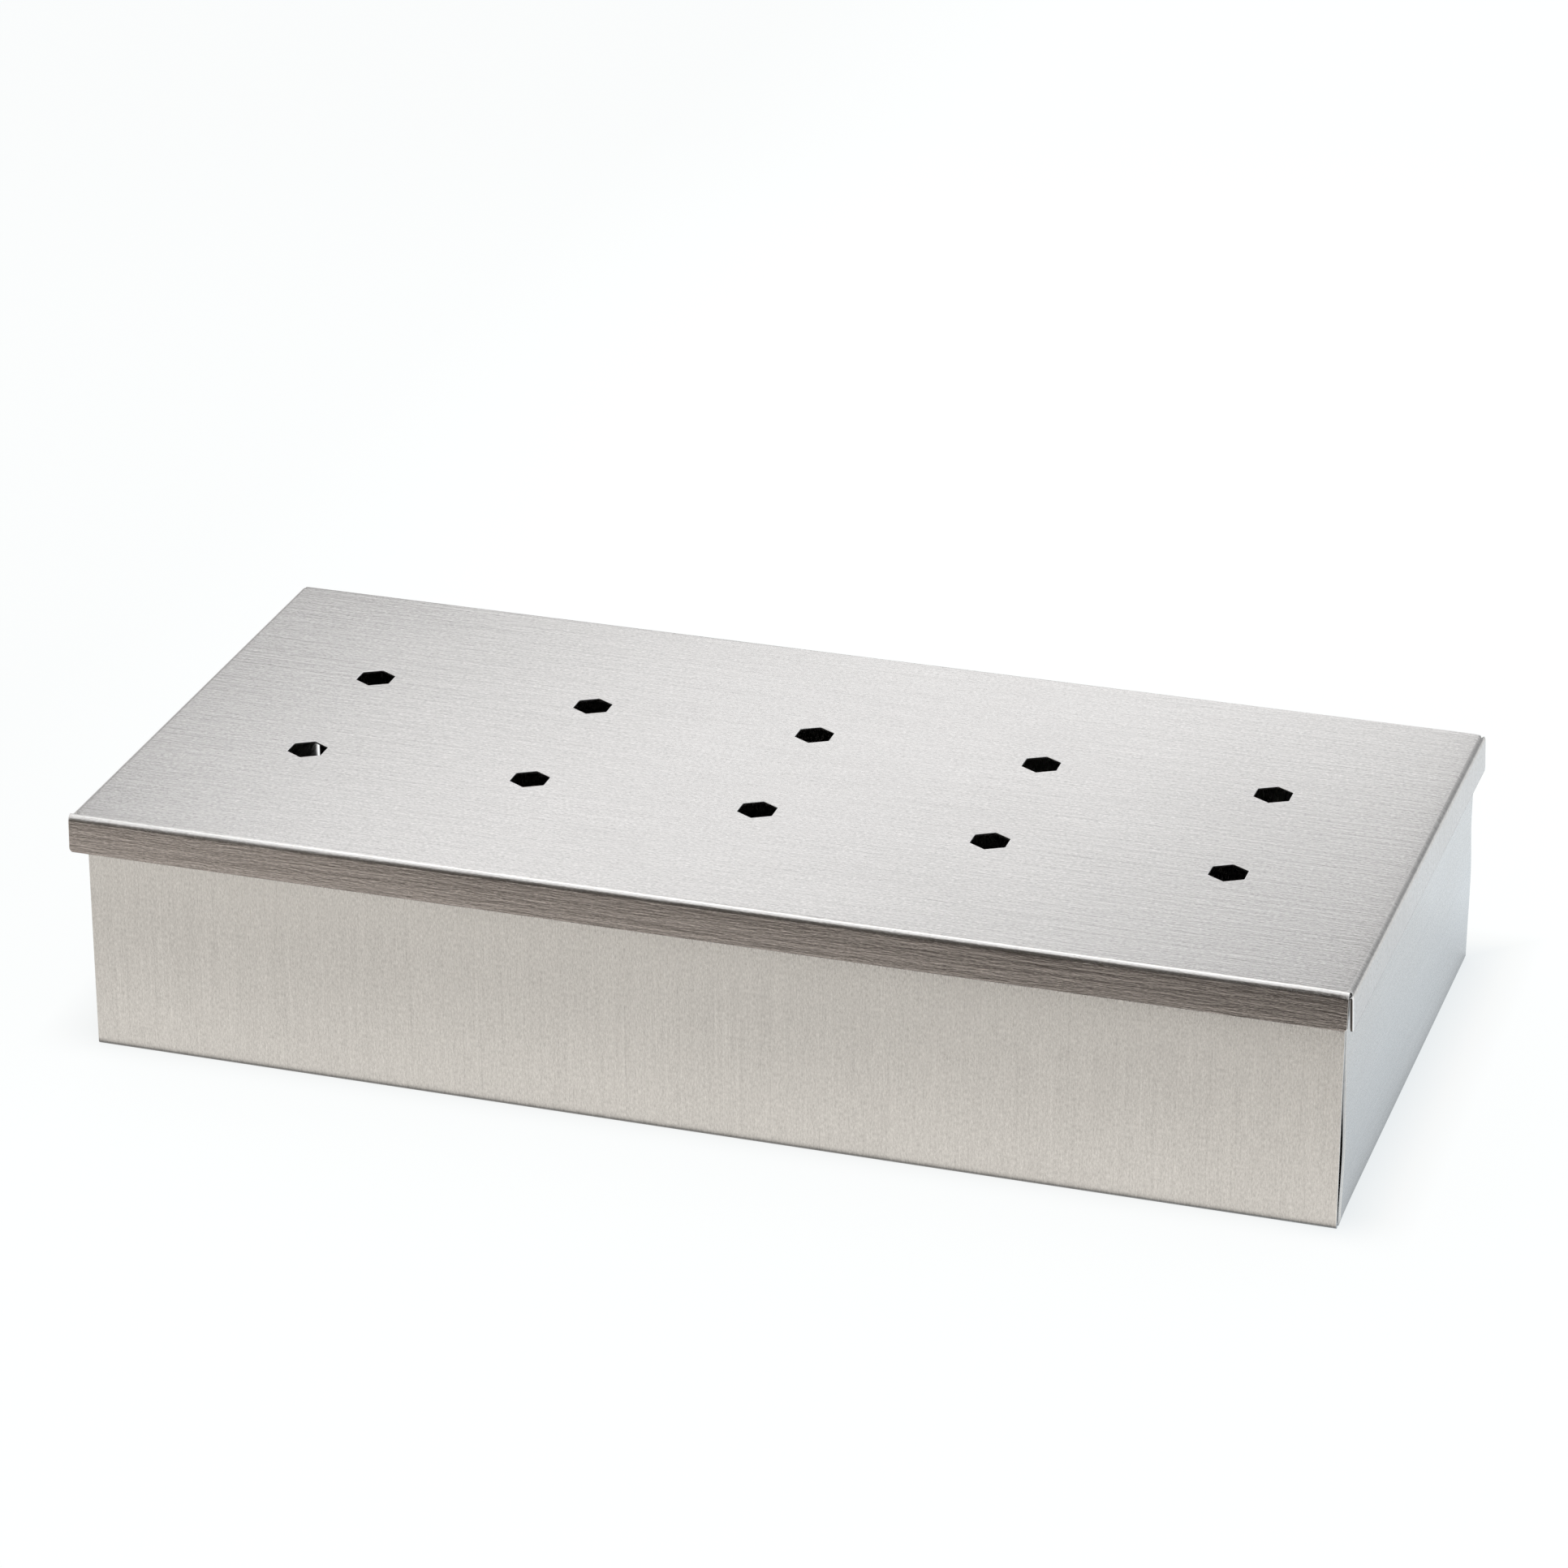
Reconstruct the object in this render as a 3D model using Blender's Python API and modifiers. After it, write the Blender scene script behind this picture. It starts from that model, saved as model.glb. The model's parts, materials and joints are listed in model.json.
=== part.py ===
"""Smoker box for a grill: a folded sheet tray and a vented lid on two small hinges.

Lengths are in metres and +Z is up. The front is at -Y, and X runs along the box.
The origin lies on the surface that the box stands on, below the middle of its outline.
"""

import math

import bmesh
import bpy
from mathutils import Matrix, Vector

# Sheet that both the tray and the lid are folded from
SHEET = 0.00045

# Tray, measured over its outer faces
TRAY_LENGTH = 0.2063
TRAY_DEPTH = 0.0990
TRAY_HEIGHT = 0.04025
TRAY_INNER_BEND = 0.00085

# Lid, which takes its length and depth from the tray and these clearances
LID_FLANGE_HEIGHT = 0.0063
LID_INNER_BEND = 0.00055
LEFT_CLEARANCE = 0.0022
RIGHT_CLEARANCE = 0.0006
FRONT_CLEARANCE = 0.00035
REAR_CLEARANCE = 0.00055

# Pieces that rest on each other keep this gap
SEAT_GAP = 0.0003

# Open corners of the folded sheets
SEAM_GAP = 0.0003
RELIEF_SLOT = 0.0002
EAR_ROOM_SHARE = 0.8
TRAY_RIM_CLIP = 0.0006
LID_RIM_CLIP = 0.0009
BEND_STEPS = 6
CLIP_STEPS = 3

# Six-sided smoke holes, points to the front and rear
HOLE_ACROSS_FLATS = 0.0058
HOLE_PITCH = 0.03885
HOLE_ROW_SPACING = 0.03075
HOLE_COLUMNS = 5
HOLE_ROWS = 2
HOLES_SHIFT_X = -0.0006
HOLES_SHIFT_Y = 0.0008

# Hinges, each of two rolled leaves on a headed pin
HINGE_END_INSET = 0.045
HINGE_WIDTH = 0.028
LEAF_SHEET = 0.0005
TRAY_LEAF_HEIGHT = 0.0125
LEAF_TOP_MARGIN = 0.0003
LEAF_CORNER_CLIP = 0.0015
JOGGLE_HEIGHT = 0.0012
KNUCKLE_GAP = 0.0003
KNUCKLE_WRAP = math.radians(280.0)
KNUCKLE_STEPS = 14
PIN_RADIUS = 0.0009
PIN_CLEARANCE = 0.0001
PIN_HEAD_THICKNESS = 0.0004
PIN_STEPS = 20

# Cutters reach this far past what they cut
OVERRUN = 0.002

# Places that follow from the sizes above
TRAY_BEND = TRAY_INNER_BEND + SHEET
LID_BEND = LID_INNER_BEND + SHEET
KNUCKLE_BORE = PIN_RADIUS + PIN_CLEARANCE
KNUCKLE_MIDDLE = KNUCKLE_BORE + LEAF_SHEET / 2
KNUCKLE_OUTER = KNUCKLE_BORE + LEAF_SHEET

LID_LENGTH = TRAY_LENGTH + 2 * SHEET + LEFT_CLEARANCE + RIGHT_CLEARANCE
LID_DEPTH = TRAY_DEPTH + 2 * SHEET + FRONT_CLEARANCE + REAR_CLEARANCE
LID_TOP = TRAY_HEIGHT + SEAT_GAP + SHEET
LID_RIM = LID_TOP - LID_FLANGE_HEIGHT

# The outline runs from the lid's front face to the back of the hinge knuckles
OVERALL_DEPTH = SHEET + FRONT_CLEARANCE + TRAY_DEPTH + SEAT_GAP + 2 * KNUCKLE_OUTER
LID_FRONT = -OVERALL_DEPTH / 2
LID_REAR = LID_FRONT + LID_DEPTH
LID_RIGHT = LID_LENGTH / 2
LID_LEFT = -LID_LENGTH / 2
TRAY_FRONT = LID_FRONT + SHEET + FRONT_CLEARANCE
TRAY_REAR = TRAY_FRONT + TRAY_DEPTH
TRAY_RIGHT = LID_RIGHT - SHEET - RIGHT_CLEARANCE
TRAY_LEFT = TRAY_RIGHT - TRAY_LENGTH

# The lid turns about a line behind the rear wall, below the rear flange
AXIS_Y = TRAY_REAR + SEAT_GAP + KNUCKLE_OUTER
AXIS_Z = LID_RIM - JOGGLE_HEIGHT - KNUCKLE_OUTER - KNUCKLE_GAP
PIVOT = Vector((0, AXIS_Y, AXIS_Z))
KNUCKLE_LENGTH = (HINGE_WIDTH - 2 * KNUCKLE_GAP) / 3

# Colour and roughness of each steel
TRAY_FINISH = ((0.50, 0.48, 0.46, 1), 0.38)
LID_FINISH = ((0.58, 0.57, 0.57, 1), 0.34)
LEAF_FINISH = ((0.45, 0.45, 0.46, 1), 0.35)
PIN_FINISH = ((0.62, 0.62, 0.63, 1), 0.25)


def clear_scene():
    for obj in list(bpy.data.objects):
        bpy.data.objects.remove(obj, do_unlink=True)


def make_collection(name):
    collection = bpy.data.collections.new(name)
    bpy.context.scene.collection.children.link(collection)
    return collection


def steel(name, finish):
    colour, roughness = finish
    material = bpy.data.materials.new(name)
    material.use_nodes = True
    shader = material.node_tree.nodes["Principled BSDF"]
    shader.inputs["Base Color"].default_value = colour
    shader.inputs["Metallic"].default_value = 1
    shader.inputs["Roughness"].default_value = roughness
    return material


def make_object(name, bm, collection, material=None):
    mesh = bpy.data.meshes.new(name)
    bm.to_mesh(mesh)
    bm.free()
    obj = bpy.data.objects.new(name, mesh)
    collection.objects.link(obj)
    if material:
        mesh.materials.append(material)
    return obj


def smooth(obj, angle=math.radians(35)):
    obj.data.shade_smooth()
    obj.data.set_sharp_from_angle(angle=angle)


def hang_on(obj, pivot):
    """Give a piece that turns its origin on the hinge line."""
    obj.data.transform(Matrix.Translation(-pivot.location))
    obj.parent = pivot


def thicken(obj, thickness, offset):
    modifier = obj.modifiers.new("sheet", "SOLIDIFY")
    modifier.thickness = thickness
    modifier.offset = offset
    modifier.use_even_offset = True


def cut(obj, cutter):
    modifier = obj.modifiers.new(cutter.name, "BOOLEAN")
    modifier.operation = "DIFFERENCE"
    modifier.solver = "EXACT"
    modifier.object = cutter


def as_cutter(obj):
    obj.hide_render = True
    obj.display_type = "WIRE"
    return obj


def box_cutter(name, low, high, collection):
    bm = bmesh.new()
    bmesh.ops.create_cube(bm, size=1)
    size = [b - a for a, b in zip(low, high)]
    middle = [(a + b) / 2 for a, b in zip(low, high)]
    bmesh.ops.scale(bm, vec=size, verts=bm.verts)
    bmesh.ops.translate(bm, vec=middle, verts=bm.verts)
    return as_cutter(make_object(name, bm, collection))


def extrude_edges(bm, edges, vector):
    """Pull open edges along a vector, and return the new edges."""
    made = bmesh.ops.extrude_edge_only(bm, edges=edges)["geom"]
    verts = [item for item in made if isinstance(item, bmesh.types.BMVert)]
    bmesh.ops.translate(bm, vec=vector, verts=verts)
    return [item for item in made if isinstance(item, bmesh.types.BMEdge)
            and all(vert in verts for vert in item.verts)]


def round_corners(bm, corners, radius):
    bmesh.ops.bevel(bm, geom=corners, offset=radius, offset_type="OFFSET", affect="VERTICES",
                    segments=CLIP_STEPS, profile=0.5)


def fold_flap(bm, edges, outward, bend, rise):
    """Fold a flap along straight edges of the flat: the bend first, then the straight wall.

    outward points away from the middle of the flat, and rise is the signed height of the wall
    over the flat's outer face. Returns the edges along the flap's rim.
    """
    turn = math.copysign(1, rise)
    start = edges[0].verts[0].co
    centre = start + Vector((0, 0, turn * bend))
    axis = outward.cross(Vector((0, 0, 1))) * turn
    made = bmesh.ops.spin(bm, geom=edges, cent=centre, axis=axis, angle=math.pi / 2,
                          steps=BEND_STEPS, use_duplicate=False)
    last = [item for item in made["geom_last"] if isinstance(item, bmesh.types.BMEdge)]
    return extrude_edges(bm, last, Vector((0, 0, rise - turn * bend)))


def ear_steps(bend):
    """How many steps of a bend can be widened before they reach the neighbouring flap."""
    inner_bend = bend - SHEET
    room = min(SEAM_GAP * EAR_ROOM_SHARE / inner_bend, 1)
    return int(math.acos(1 - room) / (math.pi / 2) * BEND_STEPS)


def widen_flap(bm, rim, direction, length, bend_steps):
    """Widen a flap at both ends of its rim: its straight wall and the last steps of its bend."""
    rim_verts = {vert for edge in rim for vert in edge.verts}
    for sign in (-1, 1):
        vert = max(rim_verts, key=lambda vert: vert.co.dot(direction) * sign)
        chain = list(rim)
        for _ in range(1 + bend_steps):
            edge = next(edge for edge in vert.link_edges if edge.is_boundary and edge not in chain)
            chain.append(edge)
            vert = edge.other_vert(vert)
        extrude_edges(bm, chain[len(rim):], direction * sign * length)


def folded_pan(name, low, high, flat_z, rim_z, bend, rim_clip, front_covers, collection, material):
    """One sheet folded on four sides, with open seams at its corners.

    The skin is the outer face, and the sheet's thickness goes inwards. At a corner one flap
    covers the end of the other, which stops short of its inner face, and a slot separates
    their bends. The front and rear flaps cover if front_covers is set, else the side flaps.
    """
    x_low, y_low = low
    x_high, y_high = high
    flat_x = (x_low + bend, x_high - bend)
    flat_y = (y_low + bend, y_high - bend)
    setback = SHEET + SEAM_GAP
    front_inset = 0 if front_covers else setback
    side_inset = setback if front_covers else 0
    end_x = (x_low + front_inset, x_high - front_inset)
    slot_y = (flat_y[0] + RELIEF_SLOT, flat_y[1] - RELIEF_SLOT)

    bm = bmesh.new()

    def point(x, y):
        return bm.verts.new((x, y, flat_z))

    left = [point(flat_x[0], y) for y in (flat_y[0], slot_y[0], slot_y[1], flat_y[1])]
    right = [point(flat_x[1], y) for y in (flat_y[0], slot_y[0], slot_y[1], flat_y[1])]
    bm.faces.new(left + right[::-1])

    rise = rim_z - flat_z
    for index, outward in ((0, Vector((0, -1, 0))), (-1, Vector((0, 1, 0)))):
        y = flat_y[index]
        ears = [bm.edges.new((point(end_x[0], y), left[index])),
                bm.edges.new((point(end_x[1], y), right[index]))]
        middle = bm.edges.get((left[index], right[index]))
        fold_flap(bm, ears + [middle], outward, bend, rise)
    for column, outward in ((left, Vector((-1, 0, 0))), (right, Vector((1, 0, 0)))):
        rim = fold_flap(bm, [bm.edges.get((column[1], column[2]))], outward, bend, rise)
        ear = bend + RELIEF_SLOT - side_inset
        widen_flap(bm, rim, Vector((0, 1, 0)), ear, ear_steps(bend))

    middle_z = (flat_z + rim_z) / 2
    at_rim = [vert for vert in bm.verts if len(vert.link_edges) == 2
              and (vert.co.z - middle_z) * rise > 0]
    round_corners(bm, at_rim, rim_clip)
    bmesh.ops.recalc_face_normals(bm, faces=bm.faces)
    flat = min(bm.faces, key=lambda face: abs(face.calc_center_median().z - flat_z))
    if flat.normal.z * rise > 0:
        bmesh.ops.reverse_faces(bm, faces=bm.faces)
    pan = make_object(name, bm, collection, material)
    smooth(pan)
    thicken(pan, SHEET, -1)
    return pan


def smoke_hole_cutters(collection):
    """A grid of six-sided punches through the lid's top."""
    bm = bmesh.new()
    corner_radius = HOLE_ACROSS_FLATS / math.sqrt(3)
    middle_y = (LID_FRONT + LID_REAR) / 2 + HOLES_SHIFT_Y
    for column in range(HOLE_COLUMNS):
        for row in range(HOLE_ROWS):
            x = (column - (HOLE_COLUMNS - 1) / 2) * HOLE_PITCH + HOLES_SHIFT_X
            y = (row - (HOLE_ROWS - 1) / 2) * HOLE_ROW_SPACING + middle_y
            place = Matrix.Translation((x, y, LID_TOP))
            bmesh.ops.create_cone(bm, cap_ends=True, segments=6, radius1=corner_radius,
                                  radius2=corner_radius, depth=2 * (SHEET + OVERRUN), matrix=place)
    return as_cutter(make_object("smoke_hole_punches", bm, collection))


def knuckle_arc(start_angle, turn):
    """Points on the middle of a rolled leaf, from where it leaves the flat, about the pin."""
    points = []
    for step in range(KNUCKLE_STEPS + 1):
        angle = start_angle + turn * KNUCKLE_WRAP * step / KNUCKLE_STEPS
        points.append((AXIS_Y + KNUCKLE_MIDDLE * math.cos(angle),
                       AXIS_Z + KNUCKLE_MIDDLE * math.sin(angle)))
    return points


def rolled_leaf(name, path, middle_x, collection, material):
    """A strip that follows a path in Y and Z across the hinge's width."""
    bm = bmesh.new()
    x_low = middle_x - HINGE_WIDTH / 2
    verts = [bm.verts.new((x_low, y, z)) for y, z in path]
    edges = [bm.edges.new(pair) for pair in zip(verts, verts[1:])]
    extrude_edges(bm, edges, Vector((HINGE_WIDTH, 0, 0)))
    corners = [vert for vert in bm.verts if vert.co.z == verts[0].co.z]
    round_corners(bm, corners, LEAF_CORNER_CLIP)
    bmesh.ops.recalc_face_normals(bm, faces=bm.faces)
    leaf = make_object(name, bm, collection, material)
    smooth(leaf)
    thicken(leaf, LEAF_SHEET, 0)
    return leaf


def knuckle_cutter(name, x_low, x_high, below, above, collection):
    reach = KNUCKLE_OUTER + OVERRUN
    low = (x_low, AXIS_Y - reach, AXIS_Z - below)
    high = (x_high, AXIS_Y + reach, AXIS_Z + above)
    return box_cutter(name, low, high, collection)


def make_hinge(side, middle_x, pivot, parts, cutters):
    """Two rolled leaves and their pin."""
    swing = KNUCKLE_OUTER + KNUCKLE_GAP
    reach = KNUCKLE_OUTER + OVERRUN
    half_width = HINGE_WIDTH / 2
    half_knuckle = KNUCKLE_LENGTH / 2

    inner_y = AXIS_Y - KNUCKLE_MIDDLE
    steel_leaf = steel(side + "_tray_leaf_steel", LEAF_FINISH)
    tray_path = [(inner_y, AXIS_Z - TRAY_LEAF_HEIGHT)] + knuckle_arc(math.pi, -1)
    tray_leaf = rolled_leaf(side + "_hinge_tray_leaf", tray_path, middle_x, parts, steel_leaf)
    gap = half_knuckle + KNUCKLE_GAP
    cut(tray_leaf, knuckle_cutter(side + "_tray_leaf_gap", middle_x - gap, middle_x + gap,
                                  swing, reach, cutters))

    flange_y = LID_REAR + SEAT_GAP + LEAF_SHEET / 2
    lid_path = [(flange_y, LID_TOP - LID_BEND - LEAF_TOP_MARGIN), (flange_y, LID_RIM),
                (inner_y, LID_RIM - JOGGLE_HEIGHT)] + knuckle_arc(math.pi, 1)
    steel_leaf = steel(side + "_lid_leaf_steel", LEAF_FINISH)
    lid_leaf = rolled_leaf(side + "_hinge_lid_leaf", lid_path, middle_x, parts, steel_leaf)
    hang_on(lid_leaf, pivot)
    for label, inner, outer in (("left", -half_width - OVERRUN, -half_knuckle),
                                ("right", half_knuckle, half_width + OVERRUN)):
        cut(lid_leaf, knuckle_cutter(side + "_lid_leaf_gap_" + label, middle_x + inner,
                                     middle_x + outer, reach, swing, cutters))
    make_pin(side + "_hinge_pin", middle_x, parts)


def make_pin(name, middle_x, parts):
    """A turned pin with a low head at each end, which keeps it in the knuckles."""
    half_length = HINGE_WIDTH / 2 + SEAT_GAP
    head_end = half_length + PIN_HEAD_THICKNESS
    profile = [(0, head_end), (PIN_RADIUS, head_end), (KNUCKLE_MIDDLE, half_length),
               (PIN_RADIUS, half_length)]
    profile += [(radius, -height) for radius, height in reversed(profile)]
    bm = bmesh.new()
    verts = [bm.verts.new((radius, 0, height)) for radius, height in profile]
    for pair in zip(verts, verts[1:]):
        bm.edges.new(pair)
    pin = make_object(name, bm, parts, steel(name + "_steel", PIN_FINISH))
    screw = pin.modifiers.new("turned", "SCREW")
    screw.steps = PIN_STEPS
    screw.render_steps = PIN_STEPS
    screw.use_merge_vertices = True
    screw.merge_threshold = PIN_CLEARANCE / 2
    pin.location = (middle_x, AXIS_Y, AXIS_Z)
    pin.rotation_euler = (0, math.pi / 2, 0)
    return pin


def main():
    clear_scene()
    parts = make_collection("smoker_box")
    cutters = make_collection("cutters")

    folded_pan("tray", (TRAY_LEFT, TRAY_FRONT), (TRAY_RIGHT, TRAY_REAR), 0, TRAY_HEIGHT,
               TRAY_BEND, TRAY_RIM_CLIP, True, parts, steel("tray_steel", TRAY_FINISH))

    pivot = bpy.data.objects.new("lid_pivot", None)
    pivot.location = PIVOT
    parts.objects.link(pivot)

    lid = folded_pan("lid", (LID_LEFT, LID_FRONT), (LID_RIGHT, LID_REAR), LID_TOP, LID_RIM,
                     LID_BEND, LID_RIM_CLIP, False, parts, steel("lid_steel", LID_FINISH))
    hang_on(lid, pivot)
    cut(lid, smoke_hole_cutters(cutters))

    for side, middle_x in (("left", LID_LEFT + HINGE_END_INSET), ("right", LID_RIGHT - HINGE_END_INSET)):
        make_hinge(side, middle_x, pivot, parts, cutters)


main()
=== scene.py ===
"""Looks of a grill smoker box: folded brushed sheet, punched smoke holes and small rolled hinges."""

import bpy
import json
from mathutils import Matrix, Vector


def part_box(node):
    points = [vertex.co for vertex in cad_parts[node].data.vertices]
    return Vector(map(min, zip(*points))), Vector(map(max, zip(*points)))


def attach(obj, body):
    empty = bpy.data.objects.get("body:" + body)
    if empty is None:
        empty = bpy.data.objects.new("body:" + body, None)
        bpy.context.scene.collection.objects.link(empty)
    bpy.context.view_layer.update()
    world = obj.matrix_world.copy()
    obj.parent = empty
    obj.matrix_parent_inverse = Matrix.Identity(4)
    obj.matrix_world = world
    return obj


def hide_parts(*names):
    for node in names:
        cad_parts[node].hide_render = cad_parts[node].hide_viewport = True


bl_info = {
    "name": "Grill smoker box",
    "version": (1, 0, 0),
    "blender": (4, 5, 0),
    "location": "3D View > Sidebar > Smoker box",
    "description": "Dresses the smoker box in folded steel sheet, smoke holes and rolled hinges",
    "category": "Object",
}

import json
import math

import bmesh
import bpy
from bpy.props import FloatProperty, FloatVectorProperty, IntProperty, PointerProperty
from mathutils import Matrix, Quaternion, Vector

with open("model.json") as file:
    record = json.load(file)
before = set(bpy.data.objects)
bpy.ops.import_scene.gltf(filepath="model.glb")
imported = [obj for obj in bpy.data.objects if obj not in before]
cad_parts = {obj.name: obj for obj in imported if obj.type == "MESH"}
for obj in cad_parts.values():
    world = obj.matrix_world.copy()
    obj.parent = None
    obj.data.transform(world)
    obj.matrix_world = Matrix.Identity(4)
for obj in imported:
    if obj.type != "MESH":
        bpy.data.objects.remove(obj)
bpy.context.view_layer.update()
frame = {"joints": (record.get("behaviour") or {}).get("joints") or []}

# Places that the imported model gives
TRAY_LOW, TRAY_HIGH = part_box("tray")
LID_LOW, LID_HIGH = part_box("lid")
AXIS = Vector(frame["joints"][0]["pos_m"])
HINGE_MIDDLES = {side: sum(corner.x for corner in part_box(side + "_hinge_pin")) / 2
                 for side in ("left", "right")}

FLAT_UV = "flat_pattern"
SIDES = {"front": Vector((0, -1, 0)), "rear": Vector((0, 1, 0)),
         "left": Vector((-1, 0, 0)), "right": Vector((1, 0, 0))}
BEND_STEPS = 12
CLIP_STEPS = 5

# Sizes of mesh cells in metres, the first one beside a bend
FIRST_CELL = 0.0009
CELL = 0.003
FLAP_CELL = 0.0022
EAR_CELL = 0.0003
LEAF_CELL = 0.0012
LEAF_ROW = 0.0006

# Gap between a wall and the end that it covers
COVER_GAP = 0.00005


# Settings

def length(name, description, default, low=0.0):
    return FloatProperty(name=name, description=description, default=default, min=low, precision=6,
                         subtype="DISTANCE", unit="LENGTH")


def colour(name, description, default):
    return FloatVectorProperty(name=name, description=description, default=default, size=3,
                               min=0, max=1, subtype="COLOR")


def share(name, description, default, high=1.0):
    return FloatProperty(name=name, description=description, default=default, min=0, max=high)


def power(name, description, default):
    return FloatProperty(name=name, description=description, default=default, min=0, unit="POWER")


class SmokerBoxSheet(bpy.types.PropertyGroup):
    sheet: length("Sheet", "Thickness of the tray's and the lid's sheet", 0.00045)
    tray_bend: length("Tray bend", "Outer radius of the tray's bends", 0.00068)
    lid_bend: length("Lid bend", "Outer radius of the lid's bends", 0.0010)
    seam_gap: length("Seam", "Gap between flaps that pass each other at a corner", 0.0003)
    relief_slot: length("Relief slot", "Width of the slot beside a side flap's bend", 0.0002)
    tray_clip: length("Tray corner", "Radius at the rim corners of the tray's flaps", 0.0006)
    lid_clip: length("Lid corner", "Radius at the rim corners of the lid's flanges", 0.0007)
    burr: length("Edge rounding", "Rounding left on the cut edges", 0.00008)
    spring: share("Spring of the seams", "How far the side walls stand out at their seams", 1.0, 2.0)
    flare: length("Flange flare", "How far the lid's flanges open towards their rims", 0.00028)
    left_reach: length("Left reach", "How far the lid's left bend lies past its nominal place", 0.0002)
    droop: length("Lid droop", "How far the lid's top drops at its right edge", 0.0002)


class SmokerBoxHoles(bpy.types.PropertyGroup):
    across_flats: length("Across flats", "Size of a six-sided smoke hole", 0.0058)
    pitch: length("Pitch", "Distance between holes along a row", 0.03885)
    row_spacing: length("Rows", "Distance between the rows of holes", 0.03075)
    shift_x: length("Shift along", "Holes' shift along the lid", -0.0006, -1.0)
    shift_y: length("Shift across", "Holes' shift across the lid", 0.0008, -1.0)
    rolled_edge: length("Rolled edge", "Rounding round a smoke hole", 0.00013)
    columns: IntProperty(name="Columns", description="Holes in a row", default=5, min=1)
    rows: IntProperty(name="Rows", description="Rows of holes", default=2, min=1)


class SmokerBoxHinges(bpy.types.PropertyGroup):
    width: length("Width", "Length of a hinge along its pin", 0.028)
    leaf_sheet: length("Leaf", "Thickness of a hinge's leaves", 0.0005)
    tray_leaf: length("Tray leaf", "Height of the tray's leaf below the pin", 0.0125)
    knuckle_gap: length("Knuckle gap", "Gap between knuckles and round them", 0.0003)
    joggle: length("Joggle", "Height of the step in the lid's leaf", 0.0012)
    corner: length("Corner", "Radius of a leaf's free corners", 0.0015)
    wrap: FloatProperty(name="Wrap", description="How far a leaf is rolled round its pin",
                        default=math.radians(280), subtype="ANGLE", unit="ROTATION")
    pin_radius: length("Pin", "Radius of the pin", 0.0009)
    clearance: length("Clearance", "Gap round the pin", 0.0001)
    weld_width: length("Weld", "Width of a spot weld's dimple", 0.0024)
    weld_depth: length("Weld depth", "Depth of a spot weld's dimple", 0.0001)
    weld_spacing: length("Weld spacing", "Distance between spot welds along a leaf", 0.0085)


class SmokerBoxSteel(bpy.types.PropertyGroup):
    tray: colour("Tray", "Steel of the tray", (0.60, 0.585, 0.57))
    lid: colour("Lid", "Steel of the lid", (0.62, 0.61, 0.605))
    leaf: colour("Leaves", "Steel of the hinge leaves", (0.52, 0.52, 0.52))
    pin: colour("Pins", "Steel of the hinge pins", (0.64, 0.64, 0.65))
    # Partly painted highlight: the sheared edges' steel tone, raised and cooled in colour for the pale
    # floor they mirror
    cut: colour("Cut edges", "Sheared edges of the tray and the leaves", (0.72, 0.76, 0.80))
    # Painted shade: near-black colour on the lid's cut edges and hole walls, standing in for the dark
    # they mirror
    lid_cut: colour("Lid's cut edges", "Sheared edges and holes of the lid", (0.10, 0.09, 0.085))
    # Painted shade: a darker, warmer tint laid on the lid's front flange below its bend
    flange: colour("Front flange", "Tint of the dulled front flange", (0.83, 0.77, 0.74))
    # Painted highlight: how much brighter the lid's front bend is made in its colour
    painted_bend_highlight: share("Burnished bend", "How much brighter the lid's front bend is", 0.7)
    burr: colour("Burrs", "Burnished steel along the cut edges", (0.78, 0.78, 0.78))
    tray_roughness: share("Tray roughness", "How dull the tray is", 0.27)
    lid_roughness: share("Lid roughness", "How dull the lid is", 0.215)
    tray_grain: share("Tray grain", "Contrast of the tray's brushed grain", 0.56, 3)
    lid_grain: share("Lid grain", "Contrast of the lid's brushed grain", 0.6, 3)
    cloud: share("Cloudiness", "Contrast of the soft patches in the finish", 0.05)
    hairline: share("Hairlines", "Strength of the stray long hairlines", 0.06)


class SmokerBoxStage(bpy.types.PropertyGroup):
    floor: length("Floor", "Side of the floor", 3.0)
    room: share("Room", "Brightness of the studio all round", 0.75, 4)
    back: share("Back wall", "Brightness of the studio's wall where the lid mirrors it", 0.45, 4)
    front: share("Dark card", "Brightness of the card that darkens the lid's front flange", 0.09, 4)
    top_power: power("Top light", "Power of the overhead light", 1.2)
    back_power: power("Strip light", "Power of the soft strip behind the box", 0.168)
    floor_near: share("Floor by the box", "How bright the floor mirrors beside the box", 0.88, 2)
    floor_far: share("Floor in front", "How bright the floor mirrors further in front", 0.07, 2)


class SmokerBoxSettings(bpy.types.PropertyGroup):
    sheet: PointerProperty(type=SmokerBoxSheet)
    holes: PointerProperty(type=SmokerBoxHoles)
    hinges: PointerProperty(type=SmokerBoxHinges)
    steel: PointerProperty(type=SmokerBoxSteel)
    stage: PointerProperty(type=SmokerBoxStage)


# Helpers for values

def evenly(low, high, spacing):
    count = max(1, round((high - low) / spacing))
    return [low + (high - low) * step / count for step in range(count + 1)]


def between(table, value):
    """Value of a curve that goes through (place, value) pairs, level beyond its ends."""
    if value <= table[0][0]:
        return table[0][1]
    for (a, low), (b, high) in zip(table, table[1:]):
        if value <= b:
            part = (value - a) / (b - a)
            part = part * part * (3 - 2 * part)
            return low + (high - low) * part
    return table[-1][1]


# Node trees

LINKED = (bpy.types.Node, bpy.types.NodeSocket)


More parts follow.
